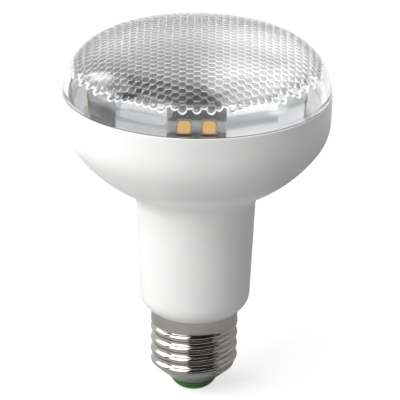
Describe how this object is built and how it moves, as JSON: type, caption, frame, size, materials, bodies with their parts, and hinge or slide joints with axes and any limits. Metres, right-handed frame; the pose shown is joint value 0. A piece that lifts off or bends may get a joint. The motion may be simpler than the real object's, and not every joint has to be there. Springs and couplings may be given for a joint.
{
  "type": "reflector bulb",
  "caption": "Reflector lamp with a screw cap, a white flared housing and a clear domed lens with a honeycomb inside, which spreads the light of a ring of LEDs.",
  "frame": {"origin": "outer face of the centre contact, on the lamp's axis", "axes": "+Z along the lamp's axis from the cap to the lens; -Y faces the picture's camera"},
  "size_m": [0.08, 0.08, 0.1131],
  "materials": {
    "clear_lens": "clear, polished outside, honeycomb inside",
    "white_housing": "smooth satin-gloss white",
    "nickel_cap": "bright nickel plate",
    "green_insulator": "dark green, glossy",
    "contact_metal": "pressed contact",
    "silver_reflector": "vacuum-metallised",
    "spreader_aluminium": "plain drawn sheet",
    "thermal_pad": "soft grey pad",
    "led_board_white": "white solder mask",
    "led_package_white": "moulded white",
    "led_phosphor": "amber silicone",
    "screw_steel": "zinc-plated",
    "driver_board_green": "green solder mask",
    "capacitor_can": "dark sleeve",
    "film_capacitor_red": "dipped",
    "black_component": "moulded",
    "ferrite": "sintered",
    "winding_tape": "taped winding",
    "fuse_body": "lacquered",
    "red_wire": "insulated wire",
    "black_wire": "insulated wire"
  },
  "bodies": {
    "root": {"lens": "clear_lens", "housing": "white_housing", "cap_shell": "nickel_cap", "cap_insulator": "green_insulator", "centre_contact": "contact_metal", "reflector": "silver_reflector", "heat_spreader": "spreader_aluminium", "thermal_pad": "thermal_pad", "base_board": "led_board_white", "led_board_1": "led_board_white", "led_board_2": "led_board_white", "led_board_3": "led_board_white", "led_board_4": "led_board_white", "led_1a": "led_package_white", "led_1b": "led_package_white", "led_2a": "led_package_white", "led_2b": "led_package_white", "led_3a": "led_package_white", "led_3b": "led_package_white", "led_4a": "led_package_white", "led_4b": "led_package_white", "phosphor_1a": "led_phosphor", "phosphor_1b": "led_phosphor", "phosphor_2a": "led_phosphor", "phosphor_2b": "led_phosphor", "phosphor_3a": "led_phosphor", "phosphor_3b": "led_phosphor", "phosphor_4a": "led_phosphor", "phosphor_4b": "led_phosphor", "board_screws": "screw_steel", "driver_board": "driver_board_green", "electrolytic_capacitor": "capacitor_can", "film_capacitor": "film_capacitor_red", "bridge_rectifier": "black_component", "driver_chip": "black_component", "transformer_core": "ferrite", "transformer_winding": "winding_tape", "fuse_resistor": "fuse_body", "live_lead": "red_wire", "led_lead_positive": "red_wire", "neutral_lead": "black_wire", "led_lead_negative": "black_wire"}
  },
  "joints": []
}
